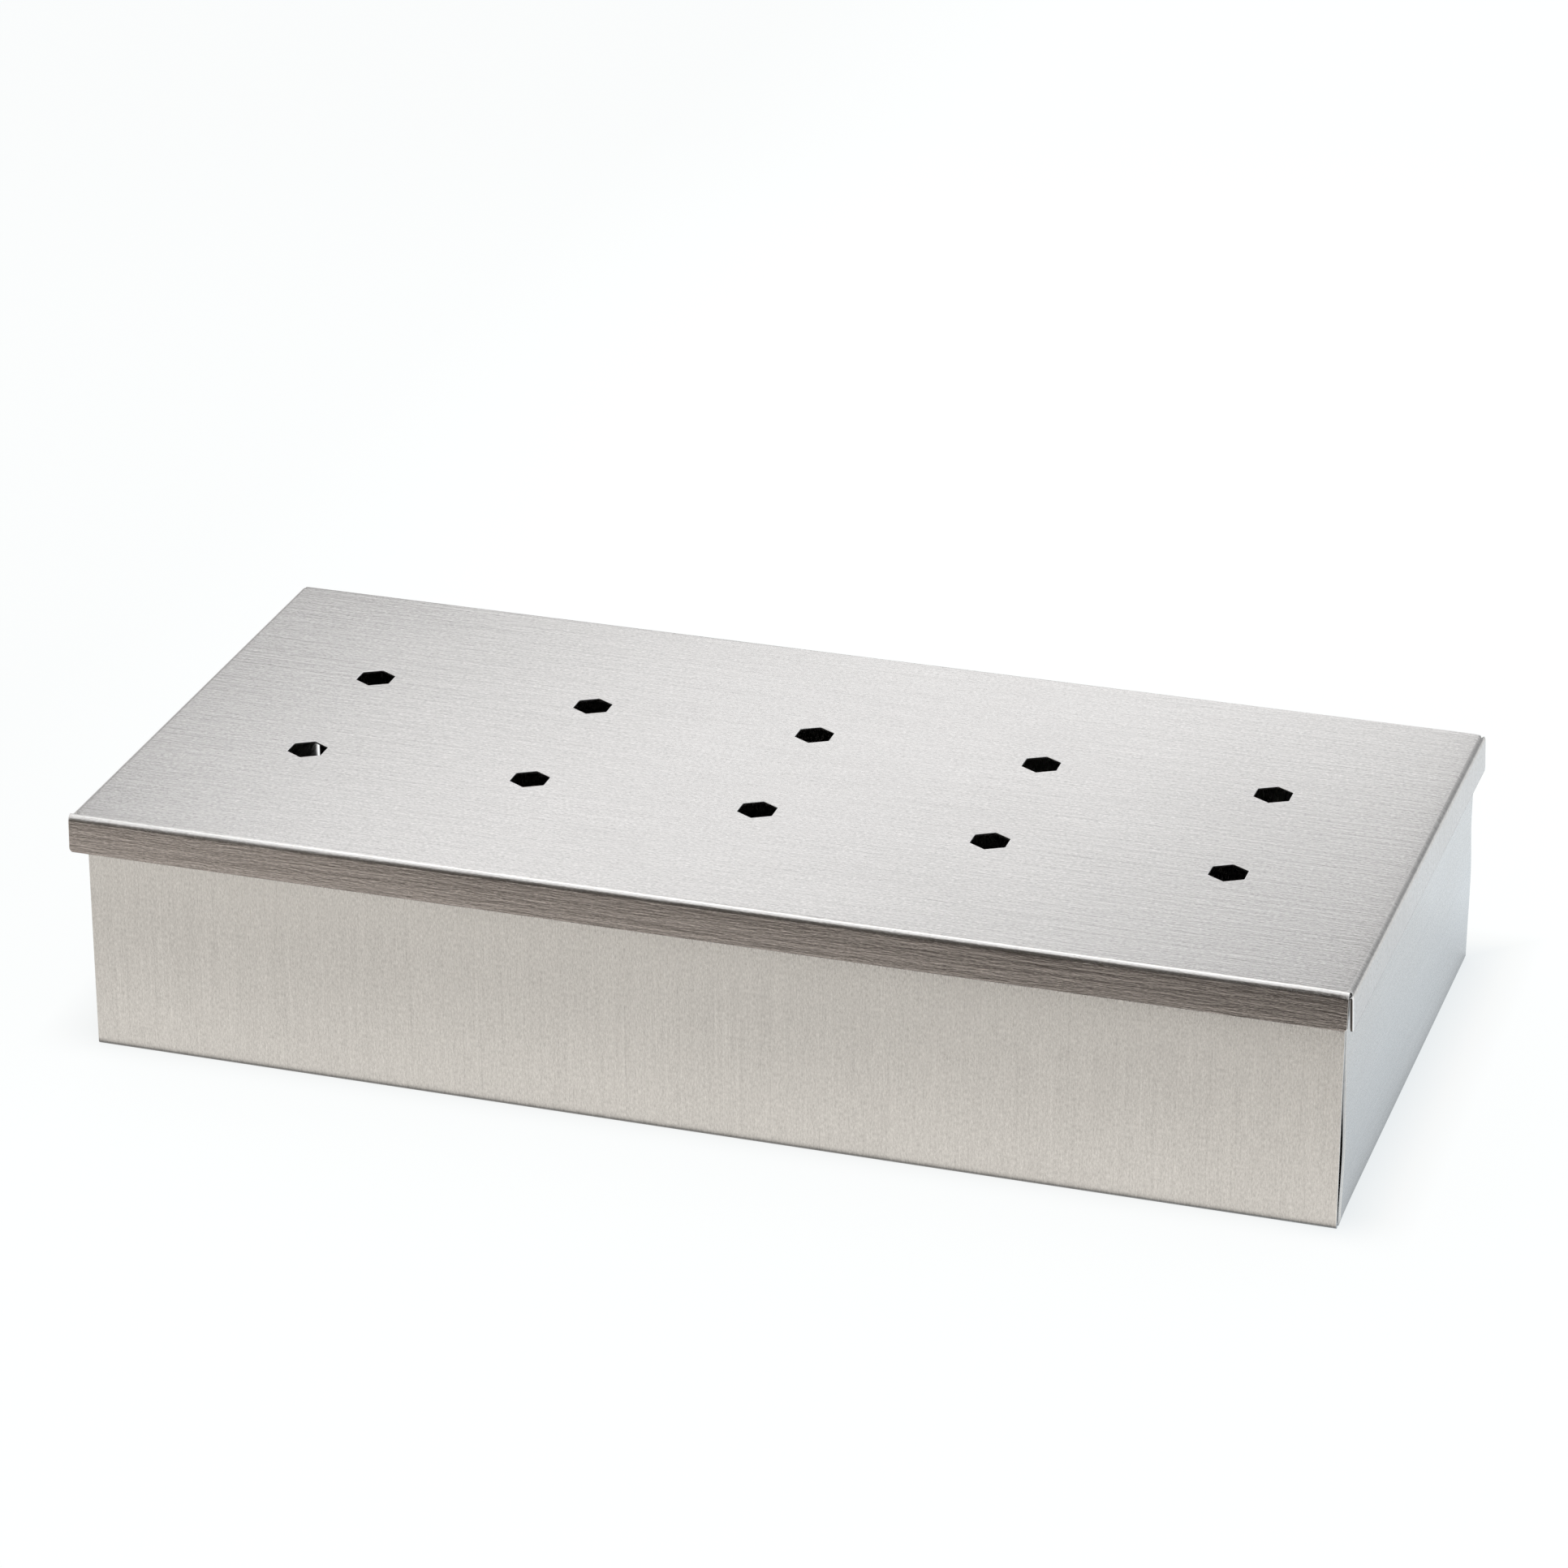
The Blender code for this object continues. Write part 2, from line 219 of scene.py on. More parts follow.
class Nodes:
    """Adds nodes to a tree and joins them. A node stands for its first output."""

    def __init__(self, tree):
        self.tree = tree

    def add(self, kind, settings=None, *values, **inputs):
        """A node with its settings, then its inputs by number and by name."""
        node = self.tree.nodes.new(kind)
        for name, value in (settings or {}).items():
            setattr(node, name, value)
        for place, value in enumerate(values):
            self.give(node, place, value)
        for name, value in inputs.items():
            self.give(node, name.replace("_", " "), value)
        return node

    def give(self, node, place, value):
        """place is an input's number or its name."""
        if isinstance(place, str):
            place = [item.name if item.enabled else "" for item in node.inputs].index(place)
        socket = node.inputs[place]
        if isinstance(value, bpy.types.Node):
            value = value.outputs[0]
        if isinstance(value, bpy.types.NodeSocket):
            self.tree.links.new(value, socket)
        else:
            socket.default_value = value

    def math(self, operation, *values):
        return self.add("ShaderNodeMath", {"operation": operation}, *values)

    def axes(self, vector):
        return self.add("ShaderNodeSeparateXYZ", Vector=vector).outputs

    def times(self, *factors):
        product = factors[0]
        for factor in factors[1:]:
            product = self.math("MULTIPLY", product, factor)
        return product

    def minus(self, a, b):
        return self.math("SUBTRACT", a, b)

    def vary(self, value, noise, amount):
        """The value, moved by the amount where the noise leaves its middle."""
        return self.math("MULTIPLY_ADD", self.minus(noise, 0.5), amount, value)

    def blend(self, low, high, part):
        return self.math("MULTIPLY_ADD", self.minus(high, low), part, low)

    def ramp(self, value, low, high, to_low=0.0, to_high=1.0, smooth=False):
        """The value's place from low to high, read from to_low to to_high and held beyond them."""
        return self.add("ShaderNodeMapRange",
                        {"interpolation_type": "SMOOTHSTEP" if smooth else "LINEAR", "clamp": True},
                        value, low, high, to_low, to_high)

    def mix(self, factor, a, b, blend="MIX"):
        """Two colours mixed, each of them linked or given as three channels."""
        node = self.add("ShaderNodeMix", {"data_type": "RGBA", "blend_type": blend}, factor)
        for place, colour in ((6, a), (7, b)):
            self.give(node, place, colour if isinstance(colour, LINKED) else (*colour, 1.0))
        return node.outputs[2]

    def tinted(self, tone, level):
        """A colour whose three channels are multiplied by one level."""
        grey = self.add("ShaderNodeCombineColor", None, level, level, level)
        return self.mix(1.0, tone, grey, "MULTIPLY")

    def mix_shaders(self, factor, a, b):
        return self.add("ShaderNodeMixShader", None, factor, a, b)

    def noise(self, vector, scale, start=(0.0, 0.0, 0.0), detail=2.0, roughness=0.6):
        """Noise whose scale gives its cells per metre along each axis."""
        placed = self.add("ShaderNodeMapping", Vector=vector, Location=start, Scale=scale)
        return self.add("ShaderNodeTexNoise", {"noise_dimensions": "3D"}, Vector=placed,
                        Scale=1.0, Detail=detail, Roughness=roughness)


def empty_nodes(owner):
    """The node tree of a material or a world, with nothing in it yet."""
    owner.use_nodes = True
    owner.node_tree.nodes.clear()
    return Nodes(owner.node_tree)


def new_material(name):
    material = bpy.data.materials.new(name)
    nodes = empty_nodes(material)
    output = nodes.add("ShaderNodeOutputMaterial")
    shader = nodes.add("ShaderNodeBsdfPrincipled", Metallic=1.0)
    nodes.give(output, "Surface", shader)
    return material, nodes, shader


# Noises of a brushed grain: cells per metre along and across it, start, detail and roughness
GRAIN_NOISES = {
    "streak": (300.0, 3000.0, (3.1, 1.7, 0.0), 3.0, 0.65),
    "speck": (1500.0, 4200.0, (7.7, 4.2, 0.0), 2.0, 0.6),
    "broad": (40.0, 1100.0, (1.3, 9.4, 0.0), 2.0, 0.5),
    "cloud": (34.0, 60.0, (5.9, 2.8, 0.0), 3.0, 0.55),
    "stray": (26.0, 2400.0, (2.2, 6.1, 0.0), 1.0, 0.4),
}


def brushed_steel(name, tone, roughness, grain, grain_axis, steel, front_bend=None):
    """Rolled sheet with a grain along one axis of its flat pattern: "X" or "Y".

    front_bend is the place on the flat pattern where the lid's front bend begins. The bend gets a
    painted highlight, and the flange in front of it a darker, warmer painted shade.
    """
    material, nodes, shader = new_material(name)
    along_x = grain_axis == "X"
    tangent = nodes.add("ShaderNodeTangent", {"direction_type": "UV_MAP", "uv_map": FLAT_UV})
    for place, value in (("Anisotropic", 0.65), ("Anisotropic Rotation", 0.25 if along_x else 0.0),
                         ("Tangent", tangent)):
        nodes.give(shader, place, value)
    flat = nodes.add("ShaderNodeUVMap", {"uv_map": FLAT_UV})
    noises = []
    for along, across, start, detail, rough in GRAIN_NOISES.values():
        scale = (along, across, 1.0) if along_x else (across, along, 1.0)
        noises.append(nodes.noise(flat, scale, start, detail, rough))
    streak, speck, broad, cloud, stray = noises

    level = 1.0
    for noise, contrast in ((streak, grain * 0.7), (speck, grain * 1.3), (broad, grain * 0.25),
                            (cloud, steel.cloud * 2)):
        level = nodes.vary(level, noise, contrast)
    for low, high, strength in ((0.64, 0.74, steel.hairline), (0.36, 0.27, -steel.hairline)):
        level = nodes.math("MULTIPLY_ADD", nodes.ramp(stray, low, high), strength, level)
    finish = nodes.tinted(tone, level)
    if front_bend is not None:
        across = nodes.axes(flat)["Y"]
        # Painted highlight: the lid's front bend is made brighter in its colour
        bend_highlight_mask = nodes.times(nodes.ramp(across, front_bend, front_bend - 0.0003),
                           nodes.ramp(across, front_bend - 0.0010, front_bend - 0.0007), steel.painted_bend_highlight)
        finish = nodes.mix(bend_highlight_mask, finish, finish, "ADD")
        # Painted shade: the flange below the bend is darkened and warmed in its colour, a dark band
        # first
        painted_shade = nodes.ramp(across, front_bend - 0.0011, front_bend - 0.0017)
        finish = nodes.mix(painted_shade, finish, steel.flange, "MULTIPLY")
    nodes.give(shader, "Base Color", finish)
    nodes.give(shader, "Roughness", nodes.vary(nodes.vary(roughness, streak, 0.1), cloud, 0.1))

    height = nodes.math("MULTIPLY_ADD", broad, 1.2, nodes.math("MULTIPLY_ADD", speck, 0.4, streak))
    nodes.give(shader, "Normal", nodes.add("ShaderNodeBump", Height=height, Strength=1.0,
                                           Distance=0.00003))
    return material


def cut_steel(name, tone, roughness):
    """Sheared or burnished edge with faint marks across it."""
    material, nodes, shader = new_material(name)
    place = nodes.add("ShaderNodeTexCoord").outputs["Object"]
    marks = nodes.noise(place, (2600.0, 2600.0, 900.0))
    nodes.give(shader, "Base Color", nodes.tinted(tone, nodes.ramp(marks, 0.3, 0.7, 0.86, 1.06)))
    nodes.give(shader, "Roughness", nodes.ramp(marks, 0.3, 0.7, roughness * 0.85, roughness * 1.2))
    return material


def wire_steel(name, tone):
    """Drawn wire with fine rings, which run round the pin."""
    material, nodes, shader = new_material(name)
    place = nodes.add("ShaderNodeTexCoord").outputs["Object"]
    rings = nodes.noise(place, (3800.0, 260.0, 260.0))
    patch = nodes.noise(place, (240.0, 240.0, 240.0), roughness=0.5)
    level = nodes.math("MULTIPLY_ADD", rings, 0.16, nodes.ramp(patch, 0.3, 0.7, 0.84, 0.96))
    nodes.give(shader, "Base Color", nodes.tinted(tone, level))
    nodes.give(shader, "Roughness", nodes.ramp(rings, 0.3, 0.7, 0.2, 0.32))
    return material


def add_edge_steels(piece, tone, steel):
    """Slots for the sheared edge and for the burr beside it. Returns the sheared one."""
    label = piece.name.split("_")[0]
    cut = cut_steel(label + "_cut_edge", tone, 0.45)
    piece.data.materials.append(cut)
    piece.data.materials.append(cut_steel(label + "_burr", steel.burr, 0.3))
    return cut


# Meshes

def new_object(name, bm):
    for face in bm.faces:
        face.smooth = True
    mesh = bpy.data.meshes.new(name)
    bm.to_mesh(mesh)
    bm.free()
    piece = bpy.data.objects.new(name, mesh)
    bpy.context.scene.collection.objects.link(piece)
    return piece


def bake(piece):
    """Put what the modifiers make into the piece's own mesh, and take them off."""
    graph = bpy.context.evaluated_depsgraph_get()
    mesh = bpy.data.meshes.new_from_object(piece.evaluated_get(graph), preserve_all_data_layers=True,
                                           depsgraph=graph)
    old = piece.data
    piece.modifiers.clear()
    piece.data = mesh
    mesh.name = piece.name
    bpy.data.meshes.remove(old)


def give_thickness(piece, thickness, offset):
    solid = piece.modifiers.new("sheet", "SOLIDIFY")
    solid.thickness = thickness
    solid.offset = offset
    solid.use_even_offset = True
    solid.use_quality_normals = True
    solid.material_offset_rim = 1


def add_bevel(piece, name, method, width, segments):
    bevel = piece.modifiers.new(name, "BEVEL")
    bevel.limit_method = method
    bevel.width = width
    bevel.segments = segments
    bevel.material = 2
    return bevel


def round_cut_edges(piece, width, punched_width=None):
    """Rounding along the sheared edges, wider round the punched holes where there are any."""
    if punched_width:
        add_bevel(piece, "punched_edge", "WEIGHT", punched_width, 3)
    bevel = add_bevel(piece, "burr", "ANGLE", width, 2)
    bevel.angle_limit = math.radians(50)
    bevel.use_clamp_overlap = False
    weights = piece.modifiers.new("flat_faces_stay_flat", "WEIGHTED_NORMAL")
    weights.mode = "FACE_AREA"
    weights.weight = 60


class FlatPattern:
    """Quads of one sheet, named by their place on its flat pattern, so neighbours share corners."""

    def __init__(self):
        self.bm = bmesh.new()
        self.verts = {}
        self.flat = {}

    def corner(self, flat, place):
        key = (round(flat[0], 7), round(flat[1], 7))
        if key not in self.verts:
            vert = self.bm.verts.new(place)
            self.verts[key] = vert
            self.flat[vert] = flat
        return self.verts[key]

    def grid(self, rows, keep=None):
        """rows holds rows of (flat place, place in space)."""
        corners = [[self.corner(flat, place) for flat, place in row] for row in rows]
        for r, (row, above) in enumerate(zip(corners, corners[1:])):
            for c in range(len(row) - 1):
                if keep and not keep(r, c):
                    continue
                quad = (row[c], row[c + 1], above[c + 1], above[c])
                if len(set(quad)) == 4:
                    self.bm.faces.new(quad)

    def finish(self, name, outward):
        """outward says which way the first face looks."""
        bm = self.bm
        loose = [vert for vert in bm.verts if not vert.link_faces]
        bmesh.ops.delete(bm, geom=loose, context="VERTS")
        layer = bm.loops.layers.uv.new(FLAT_UV)
        for face in bm.faces:
            for loop in face.loops:
                loop[layer].uv = self.flat[loop.vert]
        bmesh.ops.recalc_face_normals(bm, faces=bm.faces)
        bm.faces.ensure_lookup_table()
        if bm.faces[0].normal.dot(outward) < 0:
            bmesh.ops.reverse_faces(bm, faces=bm.faces)
        return new_object(name, bm)


def flap_depths(bend, wall, clip):
    """Depths along a flap from its bend line, each with how far its ends draw in there."""
    arc = bend * math.pi / 2
    depths = [(arc * step / BEND_STEPS, 0.0) for step in range(BEND_STEPS + 1)]
    total = arc + wall
    start = arc + min(0.0006, wall / 4)
    depths += [(depth, 0.0) for depth in evenly(start, total - clip, FLAP_CELL)]
    for step in range(1, CLIP_STEPS + 1):
        angle = math.pi / 2 * step / CLIP_STEPS
        depths.append((total - clip * (1 - math.sin(angle)), clip * (1 - math.cos(angle))))
    return depths


def folded_pan(name, low, high, flat_z, rim_z, bend, clip, slot, ends, ears, shape):
    """One sheet folded on four sides. Its skin is the outer face, without thickness yet.

    ends gives, for each flap, how far its two ends stop short of the neighbouring walls' outer
    faces. ears gives the bend step at which the side flaps' ears begin. shape(side, place) moves
    each point from its ideal place.
    """
    sheet = FlatPattern()
    turn = math.copysign(1, rim_z - flat_z)
    flat_low = (low[0] + bend, low[1] + bend)
    flat_high = (high[0] - bend, high[1] - bend)
    inner = [evenly(start + FIRST_CELL, end - FIRST_CELL, CELL)
             for start, end in zip(flat_low, flat_high)]
    columns = [flat_low[0], *inner[0], flat_high[0]]
    rows = [flat_low[1], flat_low[1] + slot, *inner[1], flat_high[1] - slot, flat_high[1]]
    wall = abs(rim_z - flat_z) - bend
    arc = bend * math.pi / 2
    depths = flap_depths(bend, wall, clip)

    sheet.grid([[((x, y), shape(None, Vector((x, y, flat_z)))) for x in columns] for y in rows])

    def folded(side, line, along, depth):
        """A point on a flap: its place on the flat pattern and its place in space."""
        angle = min(depth, arc) / bend
        out = bend * math.sin(angle)
        rise = bend * (1 - math.cos(angle)) + max(depth - arc, 0)
        outward = SIDES[side]
        z = flat_z + turn * rise
        if outward.x:
            place, flat = (line + outward.x * out, along, z), (line + outward.x * depth, along)
        else:
            place, flat = (along, line + outward.y * out, z), (along, line + outward.y * depth)
        return flat, shape(side, Vector(place))

    pull_reach = 4 * clip

    def flap(side, line, lines, span, ear_start):
        """A flap with an ear at each end, which reaches past the lines of the sheet beside it."""
        tips = (span[0] + ends[side][0], span[1] - ends[side][1])
        steps = [max(0, round((reach - 0.0001) / EAR_CELL + 0.5))
                 for reach in (lines[0] - tips[0], tips[1] - lines[-1])]
        along = [tips[0] + (lines[0] - tips[0]) * step / steps[0] for step in range(steps[0])]
        along += lines
        along += [tips[1] + (lines[-1] - tips[1]) * step / steps[1]
                  for step in reversed(range(steps[1]))]
        grid = []
        for depth, draw in depths:
            row = []
            for place in along:
                low_pull = draw * max(1 - (place - tips[0]) / pull_reach, 0)
                high_pull = draw * max(1 - (tips[1] - place) / pull_reach, 0)
                row.append(folded(side, line, place + low_pull - high_pull, depth))
            grid.append(row)
        last = steps[0] + len(lines) - 1
        sheet.grid(grid, lambda r, c: r >= ear_start or steps[0] <= c < last)

    flap("front", flat_low[1], columns, (low[0], high[0]), 0)
    flap("rear", flat_high[1], columns, (low[0], high[0]), 0)
    flap("left", flat_low[0], rows[1:-1], (low[1], high[1]), ears["left"])
    flap("right", flat_high[0], rows[1:-1], (low[1], high[1]), ears["right"])
    return sheet.finish(name, Vector((0, 0, -turn)))


def tray_shape(settings):
    """The tray's side walls stand out at their free seams, and its front wall bows a little."""
    front, rear, top = TRAY_LOW.y, TRAY_HIGH.y, TRAY_HIGH.z
    spring = settings.spring
    # Tables of height above the floor and of how far the wall stands out there
    right_front = [(0.0, 0.00010), (0.0015, 0.00050), (0.0135, 0.00068), (0.024, 0.00040),
                   (0.031, 0.00014), (top, 0.00006)]
    left_rear = [(0.0, 0.00020), (0.0015, 0.0008), (0.010, 0.0012), (0.028, 0.0007),
                 (0.034, 0.00035), (top, 0.0002)]
    right_rear = [(0.0, 0.0), (0.015, 0.00008), (0.029, -0.00037), (top, -0.0005)]
    bow = 0.00012

    def moved(side, place):
        along = (place.y - front) / (rear - front)
        reach = between([(0.0, 0.004), (0.0015, 0.006), (0.012, 0.030)], place.z)
        if side == "right":
            near = math.exp(-(place.y - front) / reach)
            out = between(right_front, place.z) * near + between(right_rear, place.z) * along
            place.x += spring * out
        elif side == "left":
            near = math.exp(-(rear - place.y) / reach)
            place.x -= spring * between(left_rear, place.z) * near
        elif side == "front":
            from_middle = (place.x - (TRAY_LOW.x + TRAY_HIGH.x) / 2) / (TRAY_HIGH.x - TRAY_LOW.x)
            place.y -= bow * math.cos(math.pi * from_middle) * math.sin(math.pi * place.z / top)
        return place

    return moved


def lid_shape(settings):
    """The lid's top drops softly at its right edge, and its flanges open towards their rims."""
    height = LID_HIGH.z - LID_LOW.z
    drop_reach = 0.0034

    def moved(side, place):
        deep = min(max((LID_HIGH.z - place.z) / height, 0), 1)
        if side:
            part = 0.9 if side in ("left", "right") else 1.0
            place += SIDES[side] * settings.flare * deep * part
        edge = min(max((place.x - (LID_HIGH.x - drop_reach)) / drop_reach, 0), 1)
        place.z -= settings.droop * edge * edge
        return place

    return moved


# Geometry Nodes

def node_group(name, inputs):
    """A Geometry Nodes tree with named inputs, each with its kind of socket."""
    tree = bpy.data.node_groups.new(name, "GeometryNodeTree")
    tree.is_modifier = True
    for label, kind in {"Geometry": "Geometry", **inputs}.items():
        tree.interface.new_socket(label, in_out="INPUT", socket_type="NodeSocket" + kind)
    tree.interface.new_socket("Geometry", in_out="OUTPUT", socket_type="NodeSocketGeometry")
    nodes = Nodes(tree)
    return tree, nodes, nodes.add("NodeGroupInput").outputs, nodes.add("NodeGroupOutput")


def add_tree(piece, tree, values):
    """A modifier that runs the tree, with its inputs set by their identifiers."""
    modifier = piece.modifiers.new(tree.name, "NODES")
    modifier.node_group = tree
    names = {item.name: item.identifier for item in tree.interface.items_tree
             if item.in_out == "INPUT"}
    for label, value in values.items():
        modifier[names[label]] = value


def marked_faces(nodes, mesh, mark):
    return nodes.add("GeometryNodeStoreNamedAttribute", {"data_type": "BOOLEAN", "domain": "FACE"},
                     Geometry=mesh, Name=mark, Value=True)


def cut_away(nodes, geometry, tools):
    real = nodes.add("GeometryNodeRealizeInstances", Geometry=tools)
    return nodes.add("GeometryNodeMeshBoolean", {"operation": "DIFFERENCE", "solver": "EXACT"},
                     geometry, real)


def set_marked_steel(nodes, mesh, mark, steel, output):
    """Ends a tree: the marked faces get the steel that the cut gave them."""
    real = nodes.add("GeometryNodeRealizeInstances", Geometry=mesh)
    marked = nodes.add("GeometryNodeInputNamedAttribute", {"data_type": "BOOLEAN"}, Name=mark)
    final = nodes.add("GeometryNodeSetMaterial", Geometry=real,
                      Selection=marked.outputs["Attribute"], Material=steel)
    nodes.give(output, 0, final)


def punched_holes_tree():
    """Punches a grid of six-sided holes, points to the front and rear, through a level sheet."""
    tree, nodes, given, output = node_group("smoke_holes", {
        "Across flats": "Float", "Pitch": "Float", "Row spacing": "Float", "Columns": "Int",
        "Rows": "Int", "Middle": "Vector", "Depth": "Float", "Cut steel": "Material"})
    size_x = nodes.times(given["Pitch"], nodes.minus(given["Columns"], 1.0))
    size_y = nodes.times(given["Row spacing"], nodes.minus(given["Rows"], 1.0))
    places = nodes.add("GeometryNodeMeshGrid", Size_X=size_x, Size_Y=size_y,
                       Vertices_X=given["Columns"], Vertices_Y=given["Rows"])
    moved = nodes.add("GeometryNodeTransform", Geometry=places,
                      Translation=given["Middle"])
    punch = nodes.add("GeometryNodeMeshCylinder", Vertices=6, Depth=given["Depth"],
                      Radius=nodes.math("DIVIDE", given["Across flats"], math.sqrt(3)))
    turned = nodes.add("GeometryNodeTransform", Geometry=punch,
                       Rotation=(0.0, 0.0, math.pi / 2))
    punches = nodes.add("GeometryNodeInstanceOnPoints", Points=moved,
                        Instance=marked_faces(nodes, turned, "punched"))
    punched = cut_away(nodes, given["Geometry"], punches)
    weight = nodes.add("GeometryNodeStoreNamedAttribute", {"data_type": "FLOAT", "domain": "EDGE"},
                       Geometry=punched, Selection=punched.outputs["Intersecting Edges"],
                       Name="bevel_weight_edge", Value=1.0)
    set_marked_steel(nodes, weight, "punched", given["Cut steel"], output)
    return tree


def weld_dimples_tree():
    """Presses a row of shallow round dimples, as spot welds leave, into a wall that faces +Y."""
    tree, nodes, given, output = node_group("weld_dimples", {
        "Width": "Float", "Depth": "Float", "Spacing": "Float", "Count": "Int",
        "Middle": "Vector", "Weld steel": "Material"})
    half, depth = nodes.math("DIVIDE", given["Width"], 2.0), given["Depth"]
    squared = nodes.math("ADD", nodes.times(half, half), nodes.times(depth, depth))
    radius = nodes.math("DIVIDE", squared, nodes.times(depth, 2.0))
    ball = nodes.add("GeometryNodeMeshUVSphere", Segments=96, Rings=384, Radius=radius)
    pole = nodes.add("GeometryNodeTransform", Geometry=ball,
                     Rotation=(math.pi / 2, 0.0, 0.0))
    place = nodes.axes(nodes.add("GeometryNodeInputPosition"))
    far = nodes.add("FunctionNodeCompare", {"data_type": "FLOAT", "operation": "GREATER_THAN"},
                    A=place["Y"], B=nodes.minus(nodes.times(depth, 4.0), radius))
    cap = nodes.add("GeometryNodeDeleteGeometry", {"domain": "POINT"}, Geometry=pole,
                    Selection=far)
    hull = nodes.add("GeometryNodeConvexHull", Geometry=cap)
    half_row = nodes.math("DIVIDE", nodes.minus(given["Count"], 1.0), -2.0)
    start = nodes.add("ShaderNodeCombineXYZ", X=nodes.times(half_row, given["Spacing"]),
                      Y=nodes.minus(radius, depth))
    first = nodes.add("ShaderNodeVectorMath", {"operation": "ADD"}, start, given["Middle"])
    step = nodes.add("ShaderNodeCombineXYZ", X=given["Spacing"])
    row = nodes.add("GeometryNodeMeshLine", {"mode": "OFFSET"}, Count=given["Count"],
                    Start_Location=first, Offset=step)
    dies = nodes.add("GeometryNodeInstanceOnPoints", Points=row,
                     Instance=marked_faces(nodes, hull, "pressed"))
    pressed = cut_away(nodes, given["Geometry"], dies)
    set_marked_steel(nodes, pressed, "pressed", given["Weld steel"], output)
    return tree


# Operators

class SMOKERBOX_OT_tray(bpy.types.Operator):
    """Fold the tray from one sheet"""
    bl_idname = "smoker_box.tray"
    bl_label = "Folded tray"

    def execute(self, context):
        settings = context.scene.smoker_box
        sheet, steel = settings.sheet, settings.steel
        cover = sheet.sheet + COVER_GAP
        # The rear wall follows the side walls' rear ends, which stand out or lean in
        ends = {"front": (0.0, 0.00003), "rear": (-0.00045, 0.00035),
                "left": (cover, cover), "right": (cover, cover)}
        tray = folded_pan("tray_sheet", TRAY_LOW, TRAY_HIGH, TRAY_LOW.z, TRAY_HIGH.z,
                          sheet.tray_bend, sheet.tray_clip, sheet.relief_slot, ends,
                          {"left": 10, "right": 10}, tray_shape(sheet))
        tray.data.materials.append(brushed_steel("tray_steel_brushed", steel.tray,
                                                 steel.tray_roughness, steel.tray_grain, "Y", steel))
        add_edge_steels(tray, steel.cut, steel)
        give_thickness(tray, sheet.sheet, -1)
        round_cut_edges(tray, sheet.burr)
        bake(tray)
        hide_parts("tray")
        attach(tray, "tray_body")
        return {"FINISHED"}


class SMOKERBOX_OT_lid(bpy.types.Operator):
    """Fold the lid from one sheet and punch its smoke holes"""
    bl_idname = "smoker_box.lid"
    bl_label = "Vented lid"

    def execute(self, context):
        settings = context.scene.smoker_box
        sheet, holes, steel = settings.sheet, settings.holes, settings.steel
        inside = sheet.sheet + sheet.seam_gap
        cover = sheet.sheet + COVER_GAP
        ends = {"front": (0.0, 0.00058), "rear": (inside, inside),
                "left": (cover, 0.0), "right": (0.0, 0.0)}
        low = LID_LOW - Vector((sheet.left_reach, 0.0, 0.0))
        lid = folded_pan("lid_sheet", low, LID_HIGH, LID_HIGH.z, LID_LOW.z, sheet.lid_bend,
                         sheet.lid_clip, sheet.relief_slot, ends, {"left": 12, "right": 7},
                         lid_shape(sheet))
        lid.data.materials.append(brushed_steel("lid_steel_brushed", steel.lid, steel.lid_roughness,
                                                steel.lid_grain, "X", steel,
                                                LID_LOW.y + sheet.lid_bend))
        # The lid's cut edges and hole walls take the near-black painted shade
        cut = add_edge_steels(lid, steel.lid_cut, steel)
        give_thickness(lid, sheet.sheet, -1)
        middle = ((LID_LOW.x + LID_HIGH.x) / 2 + holes.shift_x,
                  (LID_LOW.y + LID_HIGH.y) / 2 + holes.shift_y, LID_HIGH.z - sheet.sheet / 2)
        add_tree(lid, punched_holes_tree(), {
            "Across flats": holes.across_flats, "Pitch": holes.pitch, "Row spacing": holes.row_spacing,
            "Columns": holes.columns, "Rows": holes.rows, "Middle": middle, "Depth": 8 * sheet.sheet,
            "Cut steel": cut})
        round_cut_edges(lid, sheet.burr, holes.rolled_edge)
        bake(lid)
        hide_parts("lid")
        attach(lid, "lid_body")
        return {"FINISHED"}


def rolled_leaf(name, path, hinges, middle_x, notch, keep):
    """A strip along a path of (y, z) places, whose first end has round corners.

    notch is the distance from its middle at which a column begins, and keep(row, distance) says
    which cells stay.
    """
    strip = FlatPattern()
    lengths = [0.0]
    for (y, z), (next_y, next_z) in zip(path, path[1:]):
        lengths.append(lengths[-1] + math.hypot(next_y - y, next_z - z))
    half, corner = hinges.width / 2, hinges.corner
    edges = (-half, -notch, notch, half)
    columns = []
    for low, high in zip(edges, edges[1:]):
        columns += evenly(low, high, LEAF_CELL)[:-1]
    columns.append(half)
    grid = []
    for along, (y, z) in zip(lengths, path):
        short = max(corner - along, 0)
        draw = corner - math.sqrt(corner ** 2 - short ** 2) if short else 0.0
        places = [x * (half - draw) / half if short else x for x in columns]
        grid.append([((x, along), Vector((middle_x + x, y, z))) for x in places])
    strip.grid(grid, lambda r, c: keep(r, abs(columns[c] + columns[c + 1]) / 2))
    return strip.finish(name, Vector((0, 1, 0)))


